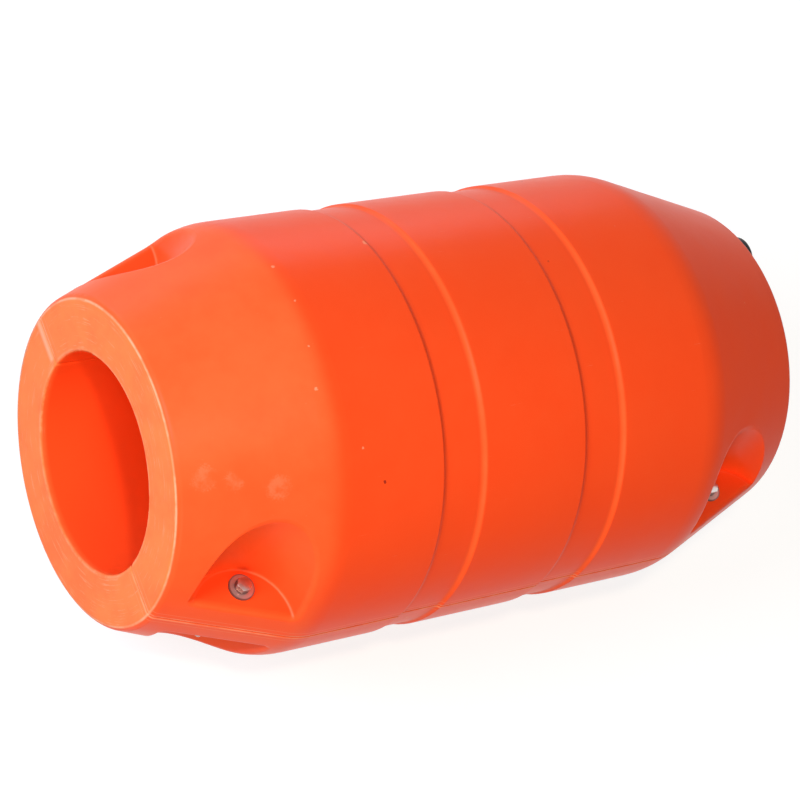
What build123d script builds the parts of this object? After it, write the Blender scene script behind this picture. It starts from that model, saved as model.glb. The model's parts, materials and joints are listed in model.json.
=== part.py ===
from build123d import *
import math
import os

# A pipe float: two rotomoulded half shells that bolt together round a pipe.
# The origin is on the bore axis at mid length. +X runs along the bore from the front end to the
# rear end, +Z is square to the parting plane, and the bolts stand along Z. Sizes are in millimetres.

# Shell, end to end
float_length = 1030.0
outer_diameter = 600.0
bore_diameter = 302.0
end_diameter = 452.0
cone_length = 200.0
wall = 8.0
rim_radius = 12.0
shoulder_radius = 110.0
edge_radius = 3.0
bore_relief_radius = 9.0

# Two shallow bands round the middle
band_centre = 117.0
band_width = 70.0
band_depth = 4.0
band_wall_run = 5.0
band_edge_radius = 4.0
band_floor_radius = 10.0

# Bolts through both halves
bolt_from_end = 118.0
bolt_from_bore = 78.0
bolt_diameter = 12.0
bolt_hole_clearance = 1.0
bolt_length = 160.0
head_across_flats = 19.0
head_height = 7.5
nut_height = 10.8
thread_clearance = 0.1
hex_corner_cut = 0.8
bolt_tip_chamfer = 1.0

# Washers under the bolt heads and the nuts
washer_diameter = 37.0
washer_thickness = 3.0
washer_clearance = 0.5
spring_washer_width = 4.5
spring_washer_thickness = 3.0
spring_washer_gap = 2.0
spring_washer_tilt = 20.0

# Bolt pockets, scooped in from the side of each half
shelf_height = 48.0
pocket_radius = 75.0
pocket_ahead = 14.5
pocket_past_washer = 11.0
pocket_draft = 2.0
pocket_end_step = 6.0
pocket_rim_radius = 10.0
pocket_corner_radius = 4.0

# Filling plug in the rear end face of each half
plug_angle = 24.0
plug_from_bore = 33.0
plug_head_diameter = 58.0
plug_head_height = 18.0
plug_head_round = 7.0
plug_body_diameter = 42.0
plug_body_length = 20.0
plug_clearance = 0.2

# Places worked out from the sizes above
half_length = float_length / 2
outer_radius = outer_diameter / 2
bore_radius = bore_diameter / 2
end_radius = end_diameter / 2
bolt_x = half_length - bolt_from_end
bolt_y = bore_radius + bolt_from_bore
bolt_hole_radius = bolt_diameter / 2 + bolt_hole_clearance
washer_hole_radius = bolt_diameter / 2 + washer_clearance
pocket_x = bolt_x + pocket_ahead
pocket_y = bolt_y - washer_diameter / 2 - pocket_past_washer + pocket_radius
pocket_reach = outer_radius + pocket_radius
plug_radius = bore_radius + plug_from_bore
near_zero = 0.01

corners = {
    "front_left": (-1, 1),
    "front_right": (-1, -1),
    "rear_left": (1, 1),
    "rear_right": (1, -1),
}


def shell_outline():
    """One half's section above the bore axis, with square corners."""
    points = [(-half_length, bore_radius), (-half_length, end_radius),
              (cone_length - half_length, outer_radius)]
    for centre in (-band_centre, band_centre):
        start = centre - band_width / 2
        end = centre + band_width / 2
        floor = outer_radius - band_depth
        points += [(start, outer_radius), (start + band_wall_run, floor),
                   (end - band_wall_run, floor), (end, outer_radius)]
    points += [(half_length - cone_length, outer_radius), (half_length, end_radius),
               (half_length, bore_radius)]
    return make_face(Polyline(*points, close=True))


def at_radius(profile, inner, outer):
    return [v for v in profile.vertices() if inner - near_zero < v.Y < outer + near_zero]


def beyond(vertices, x):
    return [v for v in vertices if abs(v.X) > x]


def rounded_outline():
    """The section with its rims, shoulders and band edges rounded."""
    profile = shell_outline()
    profile = fillet(at_radius(profile, end_radius, end_radius), rim_radius)
    band_floor = outer_radius - band_depth
    band_end = band_centre + band_width / 2
    shoulders = beyond(at_radius(profile, outer_radius, outer_radius), band_end + near_zero)
    profile = fillet(shoulders, shoulder_radius)
    profile = fillet(at_radius(profile, band_floor, band_floor), band_floor_radius)
    band_edges = [v for v in at_radius(profile, outer_radius, outer_radius)
                  if abs(v.X) < band_end + near_zero]
    return fillet(band_edges, band_edge_radius)


def parting_edges(solid):
    return [e for e in solid.edges()
            if abs(e.center().Z) < near_zero and e.bounding_box().size.Z < near_zero]


def round_parting_edges(half):
    """One bore corner has a wider lead-in; all the other edges at the joint are alike."""
    relief = [e for e in parting_edges(half) if abs(e.center().Y + bore_radius) < near_zero]
    half = fillet(relief, bore_relief_radius)
    bore_mouths = [e for e in half.edges()
                   if abs(e.center().X) > half_length - near_zero
                   and e.bounding_box().max.Z < bore_radius + near_zero
                   and e.bounding_box().size.Z > bore_radius / 2]
    outline = [e for e in parting_edges(half) if e.center().Y > 0
               or e.center().Y < -bore_radius - bore_relief_radius - near_zero]
    return fillet(outline + bore_mouths, edge_radius)


def at_corner(shape, side_x, side_y):
    """Mirror a shape made for the rear left corner to another corner."""
    if side_x < 0:
        shape = shape.mirror(Plane.YZ)
    if side_y < 0:
        shape = shape.mirror(Plane.XZ)
    return shape


def pocket_space(grow):
    """The U-shaped space above a shelf, open to the side, larger all round by grow."""
    radius = pocket_radius + grow
    run = pocket_reach - pocket_y
    base = Pos(pocket_x, pocket_y) * Circle(radius)
    base += Pos(pocket_x, pocket_y + run / 2) * Rectangle(2 * radius, run)
    return extrude(Pos(0, 0, shelf_height - grow) * base, outer_radius, taper=-pocket_draft)


def pocket_end_space(grow):
    """The same space moved on towards the end, which leaves that side of a pocket with a crisp edge."""
    return Pos(pocket_end_step) * pocket_space(grow)


def lies_on(edge, shape):
    middle = edge @ 0.5
    return Vertex(middle.X, middle.Y, middle.Z).distance_to(shape) < near_zero


def cut_pockets(half):
    """Scoop out the four bolt pockets and round their floors and their mouths."""
    spaces = [at_corner(pocket_space(0), *sides) for sides in corners.values()]
    skin = half.shell()
    half = half - spaces
    floor_edges = [e for e in half.edges()
                   if abs(e.bounding_box().min.Z - shelf_height) < near_zero
                   and e.bounding_box().size.Z < near_zero and not lies_on(e, skin)]
    half = fillet(floor_edges, pocket_corner_radius)
    mouth_edges = [e for e in half.edges() if lies_on(e, skin)
                   and any(lies_on(e, space.shell()) for space in spaces)]
    half = fillet(mouth_edges, pocket_rim_radius)
    return half - [at_corner(pocket_end_space(0), *sides) for sides in corners.values()]


def upright(radius, bottom, top):
    return Pos(bolt_x, bolt_y, (bottom + top) / 2) * Cylinder(radius, top - bottom)


def along_plug(radius, start, end):
    """A cylinder on the plug's axis, from start to end measured out from the rear face."""
    place = Rot(X=-plug_angle) * Pos(half_length + (start + end) / 2, 0, plug_radius)
    return place * Cylinder(radius, end - start, rotation=(0, 90, 0))


def hollow():
    """The space inside the moulding: the outline taken in by the wall, round every inner feature."""
    section = offset(shell_outline(), -wall, kind=Kind.INTERSECTION)
    space = revolve(section, Axis.X, 180)
    space -= Pos(0, 0, wall / 2) * Box(float_length, outer_diameter, wall)
    for sides in corners.values():
        space -= at_corner(pocket_space(wall) + pocket_end_space(wall), *sides)
        space -= at_corner(upright(bolt_hole_radius + wall, 0, shelf_height), *sides)
    return space - along_plug(plug_body_diameter / 2 + wall, -plug_body_length - wall, 0)


def half_shell():
    """The upper half: a closed hollow moulding with bolt holes and a plug hole."""
    half = round_parting_edges(revolve(rounded_outline(), Axis.X, 180))
    half = cut_pockets(half) - hollow()
    for sides in corners.values():
        half -= at_corner(upright(bolt_hole_radius, -wall, shelf_height + wall), *sides)
    return half - along_plug(plug_body_diameter / 2 + plug_clearance, -plug_body_length - 2 * wall, wall)


def hexagon(height):
    """A hexagonal prism standing on z = 0, with the corners of its top face turned off."""
    circle_radius = head_across_flats / math.sqrt(3)
    prism = extrude(RegularPolygon(head_across_flats / 2, 6, major_radius=False), height)
    turned = Pos(0, 0, height / 2) * Cylinder(circle_radius, height)
    top = turned.edges().sort_by(Axis.Z)[-1]
    return prism & chamfer(top, hex_corner_cut, hex_corner_cut * 2)


def flat_washer():
    ring = Circle(washer_diameter / 2) - Circle(washer_hole_radius)
    return extrude(ring, washer_thickness)


def spring_washer():
    """A ring with a slanted cut through one side."""
    ring = Circle(washer_hole_radius + spring_washer_width) - Circle(washer_hole_radius)
    slot = Box(3 * spring_washer_width, spring_washer_gap, 3 * spring_washer_thickness)
    place = Pos(washer_hole_radius + spring_washer_width / 2, 0, spring_washer_thickness / 2)
    return extrude(ring, spring_washer_thickness) - place * Rot(X=spring_washer_tilt) * slot


head_seat = shelf_height + washer_thickness + spring_washer_thickness
nut_seat = -shelf_height - washer_thickness
bolt_tip = head_seat - bolt_length


def bolt():
    shank = Pos(0, 0, (head_seat + bolt_tip) / 2) * Cylinder(bolt_diameter / 2, head_seat - bolt_tip)
    shank = chamfer(shank.edges().sort_by(Axis.Z)[0], bolt_tip_chamfer)
    return shank + Pos(0, 0, head_seat) * hexagon(head_height)


def nut():
    bored = hexagon(nut_height) - Cylinder(bolt_diameter / 2 + thread_clearance, 3 * nut_height)
    return Pos(0, 0, nut_seat) * Rot(X=180) * bored


def filling_plug():
    head = Pos(0, 0, plug_head_height / 2) * Cylinder(plug_head_diameter / 2, plug_head_height)
    head = fillet(head.edges().sort_by(Axis.Z)[-1], plug_head_round)
    body = Pos(0, 0, -plug_body_length / 2) * Cylinder(plug_body_diameter / 2, plug_body_length)
    place = Rot(X=-plug_angle) * Pos(half_length, 0, plug_radius) * Rot(Y=90)
    return place * (head + body)


def at_bolt(shape, side_x, side_y):
    return Pos(side_x * bolt_x, side_y * bolt_y, 0) * shape


def turned_over(shape):
    """The lower half's copy: the upper one turned half way round the bore."""
    return Rot(X=180) * shape


def all_pieces():
    upper = half_shell()
    plug = filling_plug()
    pieces = {
        "upper_half": upper,
        "lower_half": turned_over(upper),
        "upper_plug": plug,
        "lower_plug": turned_over(plug),
    }
    fasteners = {
        "bolt": bolt(),
        "head_washer": Pos(0, 0, shelf_height) * flat_washer(),
        "spring_washer": Pos(0, 0, shelf_height + washer_thickness) * spring_washer(),
        "nut_washer": Pos(0, 0, nut_seat) * flat_washer(),
        "nut": nut(),
    }
    for corner, sides in corners.items():
        for name, shape in fasteners.items():
            pieces[name + "_" + corner] = at_bolt(shape, *sides)
    return pieces


def main():
    os.makedirs("parts", exist_ok=True)
    for name, shape in all_pieces().items():
        export_step(shape, os.path.join("parts", name + ".step"))


if __name__ == "__main__":
    main()
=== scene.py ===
"""Looks of the pipe float: the finish of each piece, fine trim, the stage, the lights and the camera."""

import json
import math

import bmesh
import bpy
from bpy.props import FloatProperty, FloatVectorProperty, PointerProperty
from mathutils import Matrix, Vector


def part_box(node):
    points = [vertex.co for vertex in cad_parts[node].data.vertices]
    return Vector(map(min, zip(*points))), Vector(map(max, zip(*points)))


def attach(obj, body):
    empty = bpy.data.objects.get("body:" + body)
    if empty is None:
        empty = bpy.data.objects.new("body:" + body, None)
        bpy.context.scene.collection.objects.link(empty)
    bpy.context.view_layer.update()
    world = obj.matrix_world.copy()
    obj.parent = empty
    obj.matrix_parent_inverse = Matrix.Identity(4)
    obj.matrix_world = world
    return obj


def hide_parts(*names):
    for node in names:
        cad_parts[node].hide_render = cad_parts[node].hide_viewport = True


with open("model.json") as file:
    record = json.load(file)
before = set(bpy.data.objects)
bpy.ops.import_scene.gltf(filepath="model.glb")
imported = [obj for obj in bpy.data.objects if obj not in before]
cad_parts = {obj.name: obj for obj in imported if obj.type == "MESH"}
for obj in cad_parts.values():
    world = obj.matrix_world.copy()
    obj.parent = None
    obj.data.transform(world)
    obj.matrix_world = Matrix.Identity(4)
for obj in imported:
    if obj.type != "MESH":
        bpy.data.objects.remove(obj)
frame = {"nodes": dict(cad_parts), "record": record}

bl_info = {
    "name": "Pipe float looks",
    "version": (1, 0, 0),
    "blender": (4, 5, 0),
    "location": "View3D > Sidebar > Pipe float",
    "description": "Finishes, fine trim, stage and camera for a split pipe float",
    "category": "Object",
}

BODY = "root"
CORNERS = ("front_left", "front_right", "rear_left", "rear_right")

HALF_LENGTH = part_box("upper_half")[1].x

# Meshing
MERGE_DISTANCE = 1e-6
CUT_DISTANCE = 1e-7
SHARP_ANGLE = math.radians(20)
THREAD_STEPS = 24
PLUG_STEPS = 64
PLUG_EDGE_STEPS = 6
NUT_OVERLAP = 0.001

# Depth and strength of the fine bump on the metal and the plugs
GRAIN_DEPTH = 0.0002
METAL_GRAIN = 0.3
PLUG_GRAIN = 0.2

# Noises of the shell's skin: scale per metre, detail and roughness
WAVES = (9.0, 3.0, 0.5)
PATCHES = (34.0, 4.0, 0.6)
FINE = (420.0, 3.0, 0.6)

# Height that the waves, the fine noise and the scratches give the skin, in metres
WAVE_HEIGHT = 0.0016
FINE_HEIGHT = 0.00005
SCRATCH_DEPTH = 0.00012

# Lines of wear, of painted highlight (the face strip and the bands' rear edges) and of painted shade (the
# bands' steps): how far each lies from its edge, and its half width, in metres
RIM_LINE = (0.0040, 0.0026)
MOUTH_LINE = (0.0030, 0.0035)
JOINT_LINE = (0.0032, 0.0028)
MOULD_LINE = (0.0125, 0.0012)
SHELF_LINE = (0.0022, 0.0022)
FACE_HIGHLIGHT_STRIP = (0.0075, 0.0095)
BAND_EDGE_HIGHLIGHT_LINE = (0.0040, 0.0080)
BAND_STEP_SHADE_LINE = (0.0030, 0.0070)

# Scratches: length and spacing in metres, and how many
FACE_RINGS = {"Length": 0.055, "Spacing": 0.0020, "Amount": 0.80}
LENGTH_LINES = {"Length": 0.045, "Spacing": 0.0022, "Amount": 0.12}


def mount(name):
    """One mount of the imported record, by its name."""
    return next(m for m in frame["record"]["mounts"] if m["name"] == name)


def middle(node):
    """Centre of a CAD node's box."""
    low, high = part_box(node)
    return (low + high) / 2


BORE_RADIUS = mount("pipe_bore")["dims"]["r_mm"] / 1000
BOLT = middle("bolt_rear_left")
WASHER_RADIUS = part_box("head_washer_rear_left")[1].x - BOLT.x


# Marks seen on the skin: a place and a width in metres
PALE_NICKS = (((-0.3107, 0.1219, 0.2739), 0.0050), ((-0.3113, 0.0599, 0.2937), 0.0035),
              ((-0.3201, -0.0091, 0.2977), 0.0030), ((-0.3277, -0.0656, 0.2874), 0.0045),
              ((-0.2767, -0.1471, 0.2610), 0.0035), ((-0.1541, 0.1406, 0.2649), 0.0060),
              ((-0.1530, 0.1440, 0.2631), 0.0050), ((-0.1196, -0.2982, -0.0321), 0.0080))
PALE_SMUDGES = (((-0.4794, -0.1262, 0.2031), 0.030), ((-0.4440, -0.1400, 0.2090), 0.024),
                ((-0.3916, -0.1621, 0.2177), 0.030))
DARK_SPECKS = (((-0.2461, -0.1887, 0.2332), 0.0045),)


# Settings that a user would change


class ShellForm(bpy.types.PropertyGroup):
    end_radius: FloatProperty(
        name="End radius", description="Radius of the end face's rim",
        default=0.226, unit="LENGTH")
    cone_length: FloatProperty(
        name="Cone length", description="Length of each coned end along the bore",
        default=0.200, unit="LENGTH")
    band_centre: FloatProperty(
        name="Band centre", description="Middle of a band, from the middle of the float",
        default=0.117, unit="LENGTH")
    band_width: FloatProperty(
        name="Band width", description="Width of a band between its outer edges",
        default=0.070, unit="LENGTH")
    band_wall_run: FloatProperty(
        name="Band wall run", description="Length over which a band's edge drops to its floor",
        default=0.005, unit="LENGTH")
    shelf_height: FloatProperty(
        name="Shelf height", description="Height of a pocket's shelf above the joint",
        default=0.048, unit="LENGTH")
    pocket_radius: FloatProperty(
        name="Pocket radius", description="Radius of a pocket's round back",
        default=0.075, unit="LENGTH")
    pocket_ahead: FloatProperty(
        name="Pocket ahead", description="From a bolt to the middle of its pocket, along the bore",
        default=0.0145, unit="LENGTH")
    pocket_out: FloatProperty(
        name="Pocket out", description="From a bolt out to the centre of its pocket's round back",
        default=0.0455, unit="LENGTH")


class ShellFinish(bpy.types.PropertyGroup):
    colour: FloatVectorProperty(
        name="Colour", description="Colour of the fresh moulding",
        default=(1.0, 0.080, 0.014), subtype="COLOR", min=0, max=1)
    # Deep in the bore the colour is darker: partly moulding that the sun has not faded, partly painted
    # shade.
    bore_colour_and_shade: FloatVectorProperty(
        name="Bore colour", description="Colour deep in the bore, where no sun has reached",
        default=(1.0, 0.058, 0.006), subtype="COLOR", min=0, max=1)
    # The faded colour also paints the highlight on the bands' rear edges.
    faded_and_highlight_colour: FloatVectorProperty(
        name="Faded colour", description="Colour where the surface has chalked in the sun",
        default=(1.0, 0.185, 0.052), subtype="COLOR", min=0, max=1)
    face_colour: FloatVectorProperty(
        name="Face colour", description="Colour of the faded end faces",
        default=(1.0, 0.240, 0.062), subtype="COLOR", min=0, max=1)
    # The scraped colour also paints the highlight strip on the front face beside the joint.
    scraped_and_highlight_colour: FloatVectorProperty(
        name="Scraped colour", description="Colour of scratches and rubbed edges",
        default=(1.0, 0.420, 0.240), subtype="COLOR", min=0, max=1)
    # The grime colour also paints shade in the joint and at the bands' steps.
    grime_and_shade_colour: FloatVectorProperty(
        name="Grime colour", description="Colour of dirt held in creases",
        default=(0.34, 0.022, 0.010), subtype="COLOR", min=0, max=1)
    cone_fade: FloatProperty(
        name="Cone fade", description="How far the front cone has faded",
        default=0.42, subtype="FACTOR", min=0, max=1)
    face_fade: FloatProperty(
        name="Face fade", description="How far the end faces have faded",
        default=1.0, subtype="FACTOR", min=0, max=1)
    roughness: FloatProperty(
        name="Roughness", description="Roughness of the moulded skin",
        default=0.32, subtype="FACTOR", min=0, max=1)
    gloss: FloatProperty(
        name="Gloss", description="Strength of the skin's reflections",
        default=0.07, subtype="FACTOR", min=0, max=1)


class ShellWear(bpy.types.PropertyGroup):
    face_lines: FloatProperty(
        name="Face lines", description="Strength of the fine rings scratched on the end faces",
        default=0.45, subtype="FACTOR", min=0, max=1)
    length_lines: FloatProperty(
        name="Length lines", description="Strength of the scratches that run along the outside",
        default=0.30, subtype="FACTOR", min=0, max=1)
    mould_line: FloatProperty(
        name="Mould line", description="Strength of the pale line beside the joint",
        default=0.28, subtype="FACTOR", min=0, max=1)
    # Band edge highlight: strength of the painted highlight that lightens the bands' rear edges, where
    # their walls face the light.
    band_edge_highlight: FloatProperty(
        name="Band edges", description="How far the bands' rear edges have faded",
        default=0.30, subtype="FACTOR", min=0, max=1)
    nicks: FloatProperty(
        name="Nicks", description="Strength of the pale nicks at known places",
        default=0.55, subtype="FACTOR", min=0, max=1)
    small_nicks: FloatProperty(
        name="Small nicks", description="Strength of the small pale nicks all over",
        default=0.30, subtype="FACTOR", min=0, max=1)
    smudges: FloatProperty(
        name="Smudges", description="Strength of the pale smudges on the front cone",
        default=0.14, subtype="FACTOR", min=0, max=1)
    # Joint shade: strength of the painted shade that darkens the joint.
    joint_shade: FloatProperty(
        name="Crease", description="Strength of the dirt held in the joint",
        default=0.35, subtype="FACTOR", min=0, max=1)
    # Band step shade: strength of the painted shade along the foot of the bands' edges.
    band_step_shade: FloatProperty(
        name="Band steps", description="Strength of the dirt along the bands' floors",
        default=0.05, subtype="FACTOR", min=0, max=1)
    small_specks: FloatProperty(
        name="Small specks", description="Strength of the small dark specks all over",
        default=0.60, subtype="FACTOR", min=0, max=1)


class ThreadForm(bpy.types.PropertyGroup):
    pitch: FloatProperty(
        name="Pitch", description="Rise of the thread in one turn",
        default=0.00175, unit="LENGTH")
    crest_radius: FloatProperty(
        name="Crest radius", description="Outer radius of the thread",
        default=0.0060, unit="LENGTH")
    root_radius: FloatProperty(
        name="Root radius", description="Radius at the bottom of the thread",
        default=0.0050, unit="LENGTH")
    point_length: FloatProperty(
        name="Point length", description="Length of the tapered end of the thread",
        default=0.0010, unit="LENGTH")


class PlugForm(bpy.types.PropertyGroup):
    head_radius: FloatProperty(
        name="Head radius", description="Radius of a plug's head",
        default=0.033, unit="LENGTH")
    head_round: FloatProperty(
        name="Head round", description="Radius of the edge round a plug's head",
        default=0.005, unit="LENGTH")
    body_radius: FloatProperty(
        name="Body radius", description="Radius of a plug's hidden body",
        default=0.0205, unit="LENGTH")


class SteelFinish(bpy.types.PropertyGroup):
    colour: FloatVectorProperty(
        name="Colour", description="Colour of the bare steel",
        default=(0.74, 0.68, 0.66), subtype="COLOR", min=0, max=1)
    stain_colour: FloatVectorProperty(
        name="Stain colour", description="Colour of the dull film on the steel",
        default=(0.36, 0.21, 0.19), subtype="COLOR", min=0, max=1)
    # The edge colour is partly rubbed steel, partly painted highlight along the edges.
    rubbed_edge_and_highlight_colour: FloatVectorProperty(
        name="Edge colour", description="Colour of the steel's rubbed edges",
        default=(0.90, 0.88, 0.85), subtype="COLOR", min=0, max=1)
    washer_colour: FloatVectorProperty(
        name="Washer colour", description="Colour of the flat washers",
        default=(0.60, 0.34, 0.31), subtype="COLOR", min=0, max=1)
    rim_colour: FloatVectorProperty(
        name="Rim colour", description="Colour of the washers' dark edges and of the spring washers",
        default=(0.09, 0.06, 0.055), subtype="COLOR", min=0, max=1)
    roughness: FloatProperty(
        name="Roughness", description="Roughness of the bare steel",
        default=0.26, subtype="FACTOR", min=0, max=1)


class PlugFinish(bpy.types.PropertyGroup):
    colour: FloatVectorProperty(
        name="Colour", description="Colour of the black plugs",
        default=(0.003, 0.003, 0.004), subtype="COLOR", min=0, max=1)
    worn_colour: FloatVectorProperty(
        name="Worn colour", description="Colour of the plugs where they have dulled",
        default=(0.010, 0.010, 0.011), subtype="COLOR", min=0, max=1)
    roughness: FloatProperty(
        name="Roughness", description="Roughness of the black plugs",
        default=0.32, subtype="FACTOR", min=0, max=1)


class StageSettings(bpy.types.PropertyGroup):
    floor_colour: FloatVectorProperty(
        name="Floor colour", description="Colour of the floor",
        default=(0.30, 0.30, 0.30), subtype="COLOR", min=0, max=1)
    floor_glow: FloatProperty(
        name="Floor glow", description="Level that makes the floor white to the camera",
        default=0.82, min=0)
    floor_size: FloatProperty(
        name="Floor size", description="Width of the square floor",
        default=40.0, unit="LENGTH")
    sky_strength: FloatProperty(
        name="Sky strength", description="Level of the even light from all round",
        default=0.15, min=0)
    sun_power: FloatProperty(
        name="Sun power", description="Power of the small warm lamp beside the camera",
        default=85.0, unit="POWER")
    front_power: FloatProperty(
        name="Front power", description="Power of the large cool lamp before the front end",
        default=157.0, unit="POWER")
    low_power: FloatProperty(
        name="Low power", description="Power of the warm lamp under the camera",
        default=60.0, unit="POWER")
    back_power: FloatProperty(
        name="Back power", description="Power of the cool lamp behind the front half of the top",
        default=44.0, unit="POWER")
    far_power: FloatProperty(
        name="Far power", description="Power of the cool lamp behind the rear half of the top",
        default=22.0, unit="POWER")
    rear_power: FloatProperty(
        name="Rear power", description="Power of the lamp that faces the rear end",
        default=12.0, unit="POWER")
    camera_place: FloatVectorProperty(
        name="Camera place", description="Where the camera stands",
        default=(-2.3016, -1.3104, 3.3313), subtype="TRANSLATION", unit="LENGTH")
    camera_ahead: FloatVectorProperty(
        name="Camera ahead", description="Direction in which the camera looks",
        default=(0.53769, 0.31137, -0.78354), subtype="DIRECTION")
    camera_up: FloatVectorProperty(
        name="Camera up", description="Direction that is up in the picture",
        default=(0.1463, 0.88076, 0.4504), subtype="DIRECTION")
    lens: FloatProperty(
        name="Lens", description="Focal length in millimetres on a 36 mm wide sensor",
        default=134.2)


class PipeFloatSettings(bpy.types.PropertyGroup):
    form: PointerProperty(type=ShellForm)
    thread: PointerProperty(type=ThreadForm)
    plug_form: PointerProperty(type=PlugForm)
    shell: PointerProperty(type=ShellFinish)
    wear: PointerProperty(type=ShellWear)
    steel: PointerProperty(type=SteelFinish)
    plug: PointerProperty(type=PlugFinish)
    stage: PointerProperty(type=StageSettings)


# Node wiring


class Wires:
    """Adds nodes to one node tree and links them."""

    def __init__(self, tree):
        self.tree = tree

    def add(self, kind, **values):
        node = self.tree.nodes.new(kind)
        for name, value in values.items():
            setattr(node, name, value)
        return node

    def join(self, value, socket):
        if isinstance(value, bpy.types.NodeSocket):
            self.tree.links.new(value, socket)
        else:
            socket.default_value = value

    def place(self):
        """Object coordinates."""
        return self.add("ShaderNodeTexCoord").outputs["Object"]

    def math(self, operation, first, second=0.0, clamp=False):
        node = self.add("ShaderNodeMath", operation=operation, use_clamp=clamp)
        self.join(first, node.inputs[0])
        self.join(second, node.inputs[1])
        return node.outputs[0]

    def times(self, first, *others):
        """The product of several values."""
        for other in others:
            first = self.math("MULTIPLY", first, other)
        return first

    def rest(self, mask):
        """What a mask leaves: 1 less the mask."""
        return self.math("SUBTRACT", 1.0, mask)

    def lift(self, base, gain, mask):
        """A base level, raised by gain where the mask is full."""
        return self.math("ADD", base, self.times(mask, gain))

    def length(self, first, second):
        """Length of the hypotenuse over two distances."""
        return self.math("SQRT", self.math("ADD", self.times(first, first), self.times(second, second)))

    def rise(self, value, low, high):
        """0 below low, 1 above high, smooth between them."""
        node = self.add("ShaderNodeMapRange", interpolation_type="SMOOTHSTEP")
        self.join(value, node.inputs["Value"])
        self.join(low, node.inputs["From Min"])
        self.join(high, node.inputs["From Max"])
        return node.outputs["Result"]

    def mix(self, factor, first, second):
        """A mix of two colours, each a socket or three levels."""
        node = self.add("ShaderNodeMix", data_type="RGBA")
        self.join(factor, node.inputs["Factor"])
        for colour, socket in ((first, node.inputs["A"]), (second, node.inputs["B"])):
            self.join(colour if isinstance(colour, bpy.types.NodeSocket) else (*colour, 1.0), socket)
        return node.outputs["Result"]

    def noise(self, vector, scale, detail=2.0, rough=0.5):
        node = self.add("ShaderNodeTexNoise")
        self.join(vector, node.inputs["Vector"])
        self.join(scale, node.inputs["Scale"])
        self.join(detail, node.inputs["Detail"])
        self.join(rough, node.inputs["Roughness"])
        return node.outputs["Fac"]

    def split(self, vector):
        node = self.add("ShaderNodeSeparateXYZ")
        self.join(vector, node.inputs[0])
        return node.outputs

    def combine(self, x, y, z):
        node = self.add("ShaderNodeCombineXYZ")
        for value, socket in zip((x, y, z), node.inputs):
            self.join(value, socket)
        return node.outputs[0]

    def use(self, group, **values):
        """Places a node group; its input names have underscores for spaces here."""
        node = self.add("ShaderNodeGroup", node_tree=group)
        for name, value in values.items():
            self.join(value, node.inputs[name.replace("_", " ")])
        return node.outputs


def new_group(name, inputs, outputs):
    """An empty node group with float or vector sockets, and its wires."""
    tree = bpy.data.node_groups.new(name, "ShaderNodeTree")
    kinds = {"value": "NodeSocketFloat", "vector": "NodeSocketVector"}
    for label, kind in inputs.items():
        tree.interface.new_socket(label, in_out="INPUT", socket_type=kinds[kind])
    for label, kind in outputs.items():
        tree.interface.new_socket(label, in_out="OUTPUT", socket_type=kinds[kind])
    wires = Wires(tree)
    return tree, wires, wires.add("NodeGroupInput").outputs, wires.add("NodeGroupOutput").inputs


def once(build):
    """Keeps a built group, so that each is made only the first time it is asked for."""
    made = {}

    def get():
        if "group" not in made:
            made["group"] = build()
        return made["group"]

    return get


@once
def round_bore_group():
    """Where a point lies round the bore: along it, out from it, round it and over the joint."""
    tree, w, given, out = new_group(
        "round_bore", {"Vector": "vector"},
        {"Along": "value", "Radius": "value", "Angle": "value", "Over Joint": "value"})
    x, y, z = w.split(given["Vector"])
    w.join(x, out["Along"])
    w.join(w.length(y, z), out["Radius"])
    w.join(w.math("ARCTAN2", y, z), out["Angle"])
    w.join(w.math("ABSOLUTE", z), out["Over Joint"])
    return tree


@once
def line_group():
    """A soft line where a value passes a centre."""
    tree, w, given, out = new_group(
        "soft_line", {"Value": "value", "Centre": "value", "Half Width": "value"}, {"Mask": "value"})
    away = w.math("ABSOLUTE", w.math("SUBTRACT", given["Value"], given["Centre"]))
    share = w.math("DIVIDE", away, given["Half Width"])
    w.join(w.rest(w.rise(share, 0.0, 1.0)), out["Mask"])
    return tree


@once
def scratch_group():
    """Fine lines that run along the first axis of the vector, in patches."""
    tree, w, given, out = new_group(
        "scratches",
        {"Vector": "vector", "Length": "value", "Spacing": "value", "Amount": "value"},
        {"Mask": "value"})
    x, y, z = w.split(given["Vector"])
    along = w.math("DIVIDE", x, given["Length"])
    across = w.math("DIVIDE", y, given["Spacing"])
    deep = w.math("DIVIDE", z, given["Spacing"])
    lines = w.noise(w.combine(along, across, deep), 1.0, 3.0, 0.6)
    patches = w.noise(w.combine(along, w.times(across, 0.05), 0.0), 1.7, 2.0)
    threshold = w.math("SUBTRACT", 0.74, w.times(given["Amount"], 0.2))
    mask = w.rise(lines, threshold, w.math("ADD", threshold, 0.06))
    w.join(w.times(mask, w.rise(patches, 0.38, 0.62)), out["Mask"])
    return tree


@once
def grain_group():
    """Fine height and gloss variation of a surface."""
    tree, w, given, out = new_group(
        "grain", {"Vector": "vector", "Size": "value"}, {"Height": "value", "Cloud": "value"})
    scale = w.math("DIVIDE", 1.0, given["Size"])
    w.join(w.noise(given["Vector"], scale, 4.0, 0.55), out["Height"])
    w.join(w.noise(given["Vector"], w.times(scale, 0.02), 3.0, 0.5), out["Cloud"])
    return tree


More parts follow.
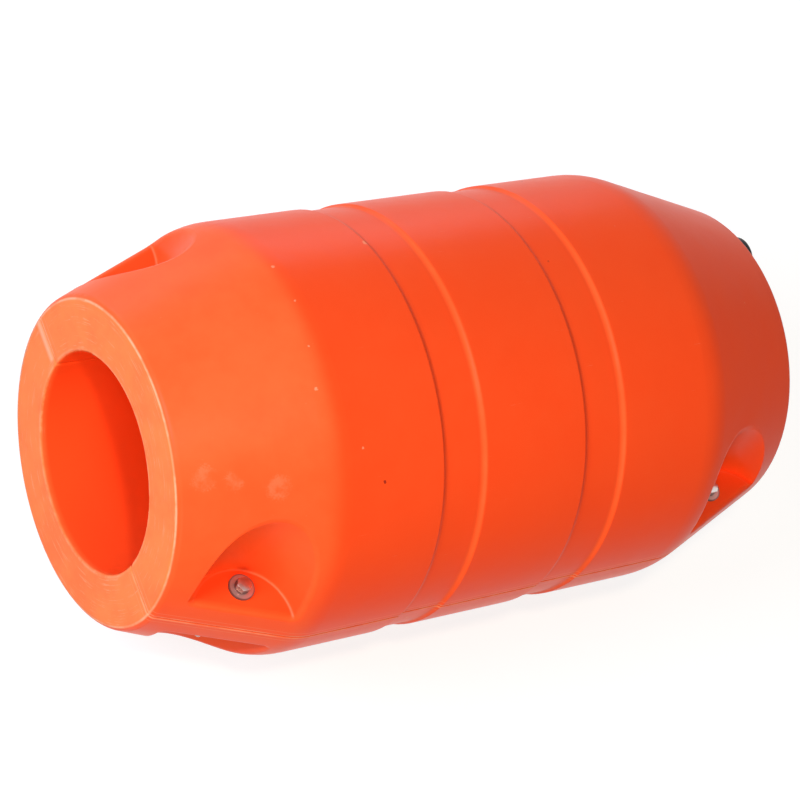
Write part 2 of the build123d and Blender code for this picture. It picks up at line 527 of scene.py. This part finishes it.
@once
def edge_group():
    """Edges and corners of a piece, found by comparing its surface with a rounded one."""
    tree, w, given, out = new_group("edges", {"Radius": "value"}, {"Mask": "value"})
    bevel = w.add("ShaderNodeBevel", samples=6)
    w.join(given["Radius"], bevel.inputs["Radius"])
    true = w.add("ShaderNodeNewGeometry")
    dot = w.add("ShaderNodeVectorMath", operation="DOT_PRODUCT")
    w.join(bevel.outputs["Normal"], dot.inputs[0])
    w.join(true.outputs["Normal"], dot.inputs[1])
    w.join(w.rise(w.rest(dot.outputs["Value"]), 0.02, 0.25), out["Mask"])
    return tree


def new_material(name):
    """An empty principled material, its wires and its shader."""
    material = bpy.data.materials.new(name)
    material.use_nodes = True
    material.node_tree.nodes.clear()
    w = Wires(material.node_tree)
    shader = w.add("ShaderNodeBsdfPrincipled")
    output = w.add("ShaderNodeOutputMaterial")
    w.join(shader.outputs[0], output.inputs["Surface"])
    return material, w, shader


def add_bump(w, shader, height, distance, strength):
    bump = w.add("ShaderNodeBump")
    bump.inputs["Distance"].default_value = distance
    bump.inputs["Strength"].default_value = strength
    w.join(height, bump.inputs["Height"])
    w.join(bump.outputs["Normal"], shader.inputs["Normal"])


def finish_nodes(names, material):
    """Gives one material to CAD nodes."""
    for name in names:
        mesh = frame["nodes"][name].data
        mesh.materials.clear()
        mesh.materials.append(material)


# Materials


def line(w, value, centre, half_width):
    """Mask of a soft line where value passes centre."""
    return w.use(line_group(), Value=value, Centre=centre, Half_Width=half_width)["Mask"]


def either(w, *masks):
    """The stronger of several masks."""
    top = masks[0]
    for mask in masks[1:]:
        top = w.math("MAXIMUM", top, mask)
    return top


def mark_at(w, place, ragged, centre, width):
    """Mask of a small ragged spot round a place."""
    away = w.add("ShaderNodeVectorMath", operation="DISTANCE")
    w.join(place, away.inputs[0])
    away.inputs[1].default_value = centre
    uneven = w.times(w.math("SUBTRACT", ragged, 0.5), width)
    far = w.math("ADD", away.outputs["Value"], uneven)
    return w.rest(w.rise(far, width * 0.35, width * 0.65))


def pocket_distance(w, form, along, side):
    """Distance from the round back's axis of the nearest bolt pocket, straight on towards the side."""
    off_x = w.math("SUBTRACT", w.math("ABSOLUTE", along), BOLT.x + form.pocket_ahead)
    off_y = w.math("MAXIMUM", w.math("SUBTRACT", BOLT.y + form.pocket_out, w.math("ABSOLUTE", side)), 0.0)
    return w.length(off_x, off_y)


class Skin:
    """The shell material's wires, with the places, noises and areas that its masks share."""

    def __init__(self, w, place, form):
        self.w, self.place, self.form = w, place, form
        axes = w.split(place)
        self.side, self.height = axes[1], axes[2]
        where = w.use(round_bore_group(), Vector=place)
        self.along, self.radius = where["Along"], where["Radius"]
        self.angle, self.over_joint = where["Angle"], where["Over Joint"]
        self.front = w.times(self.along, -1.0)
        self.end = w.math("ABSOLUTE", self.along)
        self.pocket = pocket_distance(w, form, self.along, self.side)

        self.waves = w.noise(place, *WAVES)
        self.patches = w.noise(place, *PATCHES)
        self.fine = w.noise(place, *FINE)
        self.broken = w.rise(self.patches, 0.42, 0.58)
        uneven = w.math("ADD", w.times(self.waves, 0.6), w.times(self.patches, 0.4))
        self.cloud = w.rise(uneven, 0.35, 0.65)

        self.outside = w.rise(self.radius, BORE_RADIUS + 0.004, BORE_RADIUS + 0.020)
        near_end = w.rise(self.end, HALF_LENGTH - 0.012, HALF_LENGTH - 0.002)
        off_bore = w.rise(self.radius, BORE_RADIUS - 0.002, BORE_RADIUS + 0.002)
        in_rim = w.rest(w.rise(self.radius, form.end_radius - 0.005, form.end_radius - 0.001))
        self.on_face = w.times(near_end, off_bore, in_rim)

    def marks(self, marks):
        """Mask of the marks in a list of places and widths."""
        return either(self.w, *(mark_at(self.w, self.place, self.fine, *mark) for mark in marks))


def chalk_and_highlight_mask(skin, finish, wear):
    """Sun on the outside: the front cone, less on the side turned away; and painted highlight on the
    bands' rear edges.
    """
    w, form = skin.w, skin.form
    cone_start = HALF_LENGTH - form.cone_length
    on_cone = w.rise(skin.front, cone_start - 0.014, cone_start + 0.012)
    turned_away = w.rise(w.times(skin.angle, -1.0), 0.35, 0.70)
    cone = w.times(on_cone, w.rest(w.times(turned_away, 0.45)), skin.outside, finish.cone_fade)

    # The bands' rear edges get a painted highlight, where their walls face the light.
    inset, half_width = BAND_EDGE_HIGHLIGHT_LINE
    rear_edge = form.band_width / 2 - inset
    edges = either(w, *(line(w, skin.along, rear_edge + centre, half_width)
                        for centre in (-form.band_centre, form.band_centre)))

    over_shelf = w.rise(skin.over_joint, form.shelf_height - 0.004, form.shelf_height)
    past_back = w.rise(skin.pocket, form.pocket_radius - 0.004, form.pocket_radius + 0.004)
    in_pocket = w.times(over_shelf, w.rest(past_back))

    chalk_and_highlight = either(w, cone, w.times(edges, skin.outside, wear.band_edge_highlight))
    chalk_and_highlight = w.times(chalk_and_highlight, w.rest(in_pocket))
    chalk_and_highlight = w.math("MULTIPLY", chalk_and_highlight, w.lift(0.75, 0.25, skin.cloud), clamp=True)
    return w.math("ADD", chalk_and_highlight, w.times(skin.cloud, skin.outside, 0.05), clamp=True)


def face_chalk_mask(skin, finish):
    """Sun and rubbing on the end faces, in clouds."""
    w = skin.w
    on_face = w.times(skin.on_face, finish.face_fade)
    return w.math("MULTIPLY", on_face, w.lift(0.62, 0.38, skin.cloud), clamp=True)


def scratch_mask(skin, wear):
    """Fine rings on the end faces and fine lines along the outside."""
    w = skin.w
    round_face = w.combine(w.times(skin.angle, skin.form.end_radius), skin.radius, skin.along)
    rings = w.use(scratch_group(), Vector=round_face, **FACE_RINGS)["Mask"]
    along_skin = w.combine(skin.along, w.times(skin.angle, 0.3), skin.radius)
    lines = w.use(scratch_group(), Vector=along_skin, **LENGTH_LINES)["Mask"]
    return either(w, w.times(rings, w.times(skin.on_face, wear.face_lines)),
                  w.times(lines, w.times(skin.outside, wear.length_lines)))


def edge_wear_and_highlight_mask(skin, wear):
    """Rubbed edges: the face's rim, the bore's mouth, the joint, the mould line, the shelves' backs; and a
    painted highlight strip on the front face beside the joint.
    """
    w, form, broken = skin.w, skin.form, skin.broken
    rim = w.times(line(w, skin.radius, form.end_radius - RIM_LINE[0], RIM_LINE[1]),
                  w.rise(skin.end, HALF_LENGTH - 0.012, HALF_LENGTH - 0.006), w.lift(0.45, 0.55, broken))
    mouth = w.times(line(w, skin.radius, BORE_RADIUS + MOUTH_LINE[0], MOUTH_LINE[1]),
                    w.rise(skin.end, HALF_LENGTH - 0.006, HALF_LENGTH - 0.001), w.lift(0.10, 0.30, broken))
    joint = w.times(line(w, skin.over_joint, *JOINT_LINE), w.lift(0.30, 0.35, broken), skin.outside)
    mould_line = w.times(line(w, skin.over_joint, *MOULD_LINE), w.times(skin.outside, wear.mould_line))

    inward = w.rise(w.math("SUBTRACT", BOLT.x + form.pocket_ahead, skin.end), -0.040, 0.040)
    shelf_back = w.times(line(w, skin.pocket, form.pocket_radius - SHELF_LINE[0], SHELF_LINE[1]),
                         line(w, skin.over_joint, form.shelf_height + 0.0015, 0.0040),
                         w.lift(0.08, 0.17, inward))
    # Painted highlight: a pale strip on the front face along the lower half's rounded edge at the joint,
    # on the +Y side of the bore.
    face_highlight_strip = w.times(w.rise(skin.side, BORE_RADIUS + 0.006, BORE_RADIUS + 0.012),
                         line(w, skin.height, -FACE_HIGHLIGHT_STRIP[0], FACE_HIGHLIGHT_STRIP[1]),
                         skin.on_face, w.rise(skin.front, 0.0, 0.1))
    return either(w, rim, mouth, joint, mould_line, shelf_back, face_highlight_strip)


def scattered_spots(skin):
    """Masks of two sparse sets of small ragged spots all over the outside."""
    w = skin.w
    cells = w.add("ShaderNodeTexVoronoi")
    w.join(skin.place, cells.inputs["Vector"])
    cells.inputs["Scale"].default_value = 16.0
    chosen = w.split(cells.outputs["Color"])
    ragged = w.math("ADD", cells.outputs["Distance"], w.times(w.math("SUBTRACT", skin.fine, 0.5), 0.05))
    spot = w.rest(w.rise(ragged, 0.018, 0.040))
    nicks = w.times(spot, w.rise(chosen[0], 0.80, 0.82), skin.outside)
    specks = w.times(spot, w.rise(chosen[1], 0.90, 0.92), skin.outside)
    return nicks, specks


def band_step_shade_mask(skin):
    """Painted shade at the foot of each band's edges."""
    w, form = skin.w, skin.form
    half_floor = form.band_width / 2 - form.band_wall_run
    from_middle = w.math("ABSOLUTE", w.math("SUBTRACT", skin.end, form.band_centre))
    foot = line(w, from_middle, half_floor - BAND_STEP_SHADE_LINE[0], BAND_STEP_SHADE_LINE[1])
    return w.times(foot, skin.outside)


def shell_material(form, finish, wear):
    """Rotomoulded polyethylene: clouded, chalked at the ends, rubbed along its rims and joint; with
    painted shade in the joint and at the bands' steps, partly painted shade deep in the bore, and painted
    highlight on the bands' rear edges and on a strip of the front face.
    """
    material, w, shader = new_material("orange_moulding")
    skin = Skin(w, w.place(), form)
    chalk_and_highlight = chalk_and_highlight_mask(skin, finish, wear)
    scratches = scratch_mask(skin, wear)
    small_nicks, small_specks = scattered_spots(skin)
    worn_and_highlight = either(w, scratches, edge_wear_and_highlight_mask(skin, wear),
                  w.times(skin.marks(PALE_NICKS), wear.nicks),
                  w.times(skin.marks(PALE_SMUDGES), skin.broken, wear.smudges),
                  w.times(small_nicks, wear.small_nicks))
    # Painted shade darkens the joint between the halves.
    joint_shade = w.rest(w.rise(skin.over_joint, 0.0004, 0.0016))
    grime_and_shade = either(w, w.times(joint_shade, wear.joint_shade), w.times(band_step_shade_mask(skin), wear.band_step_shade),
                   skin.marks(DARK_SPECKS), w.times(small_specks, wear.small_specks))
    # Deep in the bore the colour turns darker: partly unfaded moulding, partly painted shade.
    deep = w.times(w.rise(w.math("SUBTRACT", HALF_LENGTH, skin.end), 0.06, 0.16), w.rest(skin.outside))

    colour = w.mix(deep, finish.colour, finish.bore_colour_and_shade)
    colour = w.mix(chalk_and_highlight, colour, finish.faded_and_highlight_colour)
    colour = w.mix(face_chalk_mask(skin, finish), colour, finish.face_colour)
    colour = w.mix(worn_and_highlight, colour, finish.scraped_and_highlight_colour)
    colour = w.mix(grime_and_shade, colour, finish.grime_and_shade_colour)
    w.join(colour, shader.inputs["Base Color"])
    shader.inputs["Specular IOR Level"].default_value = finish.gloss

    dull = w.math("ADD", w.times(chalk_and_highlight, 0.10), w.times(worn_and_highlight, 0.15))
    rough = w.lift(finish.roughness - 0.03, 0.06, skin.patches)
    w.join(w.math("ADD", rough, dull, clamp=True), shader.inputs["Roughness"])
    height = w.math("ADD", w.times(skin.waves, WAVE_HEIGHT), w.times(skin.fine, FINE_HEIGHT))
    height = w.math("SUBTRACT", height, w.times(scratches, SCRATCH_DEPTH))
    add_bump(w, shader, height, distance=1.0, strength=1.0)
    return material


def metal_material(name, metallic, grain_size):
    """A principled metal with a fine bump, its wires, its shader and its clouds."""
    material, w, shader = new_material(name)
    shader.inputs["Metallic"].default_value = metallic
    grain = w.use(grain_group(), Vector=w.place(), Size=grain_size)
    add_bump(w, shader, grain["Height"], GRAIN_DEPTH, METAL_GRAIN)
    return material, w, shader, grain["Cloud"]


def steel_material(finish):
    """Plated steel: a dull film over it, rubbed bright on the edges, partly as painted highlight."""
    material, w, shader, cloud = metal_material("bolt_steel", 1.0, 0.0008)
    stain = w.rise(cloud, 0.40, 0.70)
    # The edges are brightened: partly rubbed steel, partly painted highlight.
    bright = w.use(edge_group(), Radius=0.0006)["Mask"]
    colour = w.mix(stain, finish.colour, finish.stain_colour)
    w.join(w.mix(bright, colour, finish.rubbed_edge_and_highlight_colour), shader.inputs["Base Color"])
    w.join(w.lift(finish.roughness - 0.06, 0.20, stain), shader.inputs["Roughness"])
    return material


def washer_material(finish):
    """Flat washers: a brown film, darkest along the outer edge."""
    material, w, shader, cloud = metal_material("flat_washer_steel", 0.8, 0.0010)
    axes = w.split(w.place())
    off_x = w.math("SUBTRACT", w.math("ABSOLUTE", axes[0]), BOLT.x)
    off_y = w.math("SUBTRACT", w.math("ABSOLUTE", axes[1]), BOLT.y)
    near_edge = w.rise(w.length(off_x, off_y), WASHER_RADIUS - 0.0024, WASHER_RADIUS - 0.0004)
    stain = w.rise(cloud, 0.3, 0.7)
    colour = w.mix(stain, finish.washer_colour, finish.stain_colour)
    w.join(w.mix(w.times(near_edge, 0.7), colour, finish.rim_colour), shader.inputs["Base Color"])
    w.join(w.lift(finish.roughness + 0.12, 0.2, stain), shader.inputs["Roughness"])
    return material


def spring_washer_material(finish):
    """Dark oiled spring steel."""
    material, w, shader, cloud = metal_material("spring_washer_steel", 1.0, 0.0008)
    bright = w.times(w.use(edge_group(), Radius=0.0005)["Mask"], 0.5)
    colour = w.mix(cloud, finish.rim_colour, finish.stain_colour)
    w.join(w.mix(bright, colour, finish.colour), shader.inputs["Base Color"])
    shader.inputs["Roughness"].default_value = finish.roughness + 0.05
    return material


def plug_material(finish):
    """Black moulded plastic, a little dulled."""
    material, w, shader = new_material("black_plug")
    grain = w.use(grain_group(), Vector=w.place(), Size=0.0010)
    w.join(w.mix(grain["Cloud"], finish.colour, finish.worn_colour), shader.inputs["Base Color"])
    shader.inputs["Specular IOR Level"].default_value = 0.2
    w.join(w.lift(finish.roughness, 0.1, grain["Cloud"]), shader.inputs["Roughness"])
    add_bump(w, shader, grain["Height"], GRAIN_DEPTH, PLUG_GRAIN)
    return material


# Pieces


def add_piece(bm, name, node):
    """Makes an object of a bmesh, in the place of a CAD node and in its material."""
    mesh = bpy.data.meshes.new(name)
    bmesh.ops.recalc_face_normals(bm, faces=bm.faces)
    bm.to_mesh(mesh)
    bm.free()
    mesh.materials.append(frame["nodes"][node].data.materials[0])
    mesh.shade_smooth()
    mesh.set_sharp_from_angle(angle=SHARP_ANGLE)
    piece = bpy.data.objects.new(name, mesh)
    bpy.context.scene.collection.objects.link(piece)
    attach(piece, BODY)
    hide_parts(node)
    return piece


def cut_level(bm, height, side):
    """Cuts a bmesh level at a height, clears what lies above (1) or below (-1) and closes the cut."""
    geometry = bm.verts[:] + bm.edges[:] + bm.faces[:]
    cut = bmesh.ops.bisect_plane(bm, geom=geometry, dist=CUT_DISTANCE, plane_co=(0, 0, height),
                                 plane_no=(0, 0, side), clear_outer=True)["geom_cut"]
    bmesh.ops.edgeloop_fill(bm, edges=[part for part in cut if isinstance(part, bmesh.types.BMEdge)])


def thread_mesh(axis, top, tip, thread):
    """A closed length of right-hand screw thread on an upright axis, with a tapered tip.

    Its shares of one pitch are the ends of the flat root and of the flat crest.
    """
    shares = ((0.0, thread.root_radius), (0.25, thread.root_radius),
              (0.5625, thread.crest_radius), (0.6875, thread.crest_radius))
    turns = math.ceil((top - tip) / thread.pitch) + 3
    low = tip - 1.5 * thread.pitch
    bm = bmesh.new()
    verts = [bm.verts.new((axis.x + radius, axis.y, low + (turn + share) * thread.pitch))
             for turn in range(turns) for share, radius in shares]
    edges = [bm.edges.new(pair) for pair in zip(verts, verts[1:])]
    bmesh.ops.spin(bm, geom=verts + edges, cent=(axis.x, axis.y, 0), axis=(0, 0, 1),
                   dvec=(0, 0, thread.pitch / THREAD_STEPS), angle=math.tau, steps=THREAD_STEPS)
    bmesh.ops.remove_doubles(bm, verts=bm.verts, dist=MERGE_DISTANCE)
    cut_level(bm, top, 1)
    cut_level(bm, tip, -1)
    for vert in bm.verts:
        out = Vector((vert.co.x - axis.x, vert.co.y - axis.y, 0))
        most = thread.crest_radius - thread.point_length + vert.co.z - tip
        if out.length > most:
            vert.co += out * (most / out.length - 1)
    mesh = bpy.data.meshes.new("thread")
    bm.to_mesh(mesh)
    bm.free()
    return mesh


def threaded_bolt(node, nut, thread):
    """The CAD bolt, cut off inside its nut and carried on as a screw thread to its tip."""
    join = middle(nut).z
    bm = bmesh.new()
    bm.from_mesh(frame["nodes"][node].data)
    bmesh.ops.remove_doubles(bm, verts=bm.verts, dist=MERGE_DISTANCE)
    cut_level(bm, join, -1)
    end = thread_mesh(middle(node), join + NUT_OVERLAP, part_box(node)[0].z, thread)
    bm.from_mesh(end)
    bpy.data.meshes.remove(end)
    return add_piece(bm, node.replace("bolt", "threaded_bolt"), node)


def turned_plug(node, form):
    """A plug turned about its own axis: a plain body and a head with a round edge."""
    low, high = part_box(node)
    axis = (low + high) / 2
    inner, seat, top = low.x, HALF_LENGTH, high.x
    round_edge = [(top - form.head_round * (1 - math.cos(turn)),
                   form.head_radius - form.head_round * (1 - math.sin(turn)))
                  for turn in (math.radians(90 - 90 / PLUG_EDGE_STEPS * step)
                               for step in range(PLUG_EDGE_STEPS + 1))]
    profile = [(inner, 0), (inner, form.body_radius), (seat, form.body_radius),
               (seat, form.head_radius), *round_edge, (top, 0)]
    bm = bmesh.new()
    verts = [bm.verts.new((x, axis.y, axis.z + radius)) for x, radius in profile]
    edges = [bm.edges.new(pair) for pair in zip(verts, verts[1:])]
    bmesh.ops.spin(bm, geom=verts + edges, cent=axis, axis=(1, 0, 0), angle=math.tau,
                   steps=PLUG_STEPS, use_merge=True)
    bmesh.ops.remove_doubles(bm, verts=bm.verts, dist=MERGE_DISTANCE)
    return add_piece(bm, node.replace("plug", "turned_plug"), node)


# Stage


def seen_rays(w):
    """1 for the rays that show a background: the camera's, glossy ones and those through glass."""
    path = w.add("ShaderNodeLightPath").outputs
    return w.math("ADD", w.math("ADD", path["Is Camera Ray"], path["Is Glossy Ray"]),
                  path["Is Transmission Ray"], clamp=True)


def make_world(stage):
    """Even white light from all round, and a white background."""
    world = bpy.data.worlds.new("studio")
    world.use_nodes = True
    world.node_tree.nodes.clear()
    w = Wires(world.node_tree)
    background = w.add("ShaderNodeBackground")
    background.inputs["Color"].default_value = (1.0, 1.0, 1.0, 1.0)
    w.join(w.lift(stage.sky_strength, 1.0 - stage.sky_strength, seen_rays(w)),
           background.inputs["Strength"])
    output = w.add("ShaderNodeOutputWorld")
    w.join(background.outputs[0], output.inputs["Surface"])
    bpy.context.scene.world = world


def floor_material(stage):
    """White to the camera, with the object's shadow kept."""
    material, w, shader = new_material("studio_floor")
    shader.inputs["Base Color"].default_value = (*stage.floor_colour, 1.0)
    shader.inputs["Roughness"].default_value = 1.0
    shader.inputs["Specular IOR Level"].default_value = 0.0
    shader.inputs["Emission Color"].default_value = (1.0, 1.0, 1.0, 1.0)
    w.join(w.times(seen_rays(w), stage.floor_glow), shader.inputs["Emission Strength"])
    return material


def make_floor(stage):
    mesh = bpy.data.meshes.new("floor")
    bm = bmesh.new()
    level = Matrix.Translation((0, 0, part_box("lower_half")[0].z))
    bmesh.ops.create_grid(bm, x_segments=1, y_segments=1, size=stage.floor_size / 2, matrix=level)
    bm.to_mesh(mesh)
    bm.free()
    floor = bpy.data.objects.new("floor", mesh)
    bpy.context.scene.collection.objects.link(floor)
    mesh.materials.append(floor_material(stage))


def make_lamp(name, power, place, width, colour, in_reflections=True):
    """A round lamp that faces the middle of the float."""
    lamp = bpy.data.lights.new(name, "AREA")
    lamp.shape = "DISK"
    lamp.size = width
    lamp.energy = power
    lamp.color = colour
    holder = bpy.data.objects.new(name, lamp)
    bpy.context.scene.collection.objects.link(holder)
    holder.location = place
    holder.rotation_euler = (-Vector(place)).to_track_quat("-Z", "Y").to_euler()
    holder.visible_glossy = in_reflections


def make_lamps(stage):
    make_lamp("sun_lamp", stage.sun_power, (-2.10, -1.15, 4.30), 0.3, (1.0, 0.83, 0.59))
    make_lamp("front_lamp", stage.front_power, (-3.50, 0.20, 2.60), 2.0, (0.67, 0.77, 1.0))
    make_lamp("low_lamp", stage.low_power, (-2.02, -3.22, 1.24), 2.0, (1.0, 0.77, 0.47))
    make_lamp("back_lamp", stage.back_power, (-1.00, 3.69, 0.40), 2.0, (0.89, 0.93, 1.0))
    make_lamp("far_lamp", stage.far_power, (1.58, 3.67, 0.40), 2.0, (0.78, 0.85, 1.0))
    make_lamp("rear_lamp", stage.rear_power, (2.90, 1.60, 0.20), 2.0, (1.0, 0.95, 0.90),
              in_reflections=False)


def make_camera(stage):
    ahead = Vector(stage.camera_ahead).normalized()
    right = ahead.cross(Vector(stage.camera_up)).normalized()
    up = right.cross(ahead)
    data = bpy.data.cameras.new("camera")
    data.sensor_width = 36.0
    data.lens = stage.lens
    camera = bpy.data.objects.new("camera", data)
    bpy.context.scene.collection.objects.link(camera)
    turn = Matrix((right, up, -ahead)).transposed().to_4x4()
    camera.matrix_world = Matrix.Translation(Vector(stage.camera_place)) @ turn
    bpy.context.scene.camera = camera


# Operators


class PIPEFLOAT_OT_shell_finish(bpy.types.Operator):
    """Finishes the two half shells"""
    bl_idname = "pipe_float.shell_finish"
    bl_label = "Half shells"

    def execute(self, context):
        settings = context.scene.pipe_float
        material = shell_material(settings.form, settings.shell, settings.wear)
        finish_nodes(("upper_half", "lower_half"), material)
        return {"FINISHED"}


class PIPEFLOAT_OT_plug_finish(bpy.types.Operator):
    """Finishes the two filling plugs"""
    bl_idname = "pipe_float.plug_finish"
    bl_label = "Filling plugs"

    def execute(self, context):
        material = plug_material(context.scene.pipe_float.plug)
        finish_nodes(("upper_plug", "lower_plug"), material)
        return {"FINISHED"}


class PIPEFLOAT_OT_fastener_finish(bpy.types.Operator):
    """Finishes the bolts, nuts and washers"""
    bl_idname = "pipe_float.fastener_finish"
    bl_label = "Bolts, nuts and washers"

    def execute(self, context):
        finish = context.scene.pipe_float.steel
        steel = steel_material(finish)
        washer = washer_material(finish)
        spring = spring_washer_material(finish)
        for corner in CORNERS:
            finish_nodes(("bolt_" + corner, "nut_" + corner), steel)
            finish_nodes(("head_washer_" + corner, "nut_washer_" + corner), washer)
            finish_nodes(("spring_washer_" + corner,), spring)
        return {"FINISHED"}


class PIPEFLOAT_OT_threads(bpy.types.Operator):
    """Gives the four bolts their screw threads"""
    bl_idname = "pipe_float.threads"
    bl_label = "Bolt threads"

    def execute(self, context):
        thread = context.scene.pipe_float.thread
        for corner in CORNERS:
            threaded_bolt("bolt_" + corner, "nut_" + corner, thread)
        return {"FINISHED"}


class PIPEFLOAT_OT_plug_heads(bpy.types.Operator):
    """Turns the two filling plugs with their round-edged heads"""
    bl_idname = "pipe_float.plug_heads"
    bl_label = "Plug heads"

    def execute(self, context):
        form = context.scene.pipe_float.plug_form
        for node in ("upper_plug", "lower_plug"):
            turned_plug(node, form)
        return {"FINISHED"}


class PIPEFLOAT_OT_stage(bpy.types.Operator):
    """Builds the floor, the lights and the camera"""
    bl_idname = "pipe_float.stage"
    bl_label = "Stage, lights and camera"

    def execute(self, context):
        stage = context.scene.pipe_float.stage
        make_world(stage)
        make_floor(stage)
        make_lamps(stage)
        make_camera(stage)
        context.scene.view_settings.view_transform = "Standard"
        return {"FINISHED"}


class PIPEFLOAT_PT_panel(bpy.types.Panel):
    """The float's steps, in order"""
    bl_label = "Pipe float"
    bl_idname = "PIPEFLOAT_PT_panel"
    bl_space_type = "VIEW_3D"
    bl_region_type = "UI"
    bl_category = "Pipe float"

    def draw(self, context):
        for step in STEPS:
            self.layout.operator(step.bl_idname)


STEPS = (
    PIPEFLOAT_OT_shell_finish,
    PIPEFLOAT_OT_plug_finish,
    PIPEFLOAT_OT_fastener_finish,
    PIPEFLOAT_OT_threads,
    PIPEFLOAT_OT_plug_heads,
    PIPEFLOAT_OT_stage,
)
GROUPS = (ShellForm, ThreadForm, PlugForm, ShellFinish, ShellWear, SteelFinish, PlugFinish,
          StageSettings, PipeFloatSettings)


def register():
    for kind in (*GROUPS, *STEPS, PIPEFLOAT_PT_panel):
        bpy.utils.register_class(kind)
    bpy.types.Scene.pipe_float = PointerProperty(type=PipeFloatSettings)


def unregister():
    del bpy.types.Scene.pipe_float
    for kind in reversed((*GROUPS, *STEPS, PIPEFLOAT_PT_panel)):
        bpy.utils.unregister_class(kind)


def main():
    register()
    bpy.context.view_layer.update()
    bpy.ops.pipe_float.shell_finish()
    bpy.ops.pipe_float.plug_finish()
    bpy.ops.pipe_float.fastener_finish()
    bpy.ops.pipe_float.threads()
    bpy.ops.pipe_float.plug_heads()
    bpy.ops.pipe_float.stage()


if __name__ == "__main__":
    main()
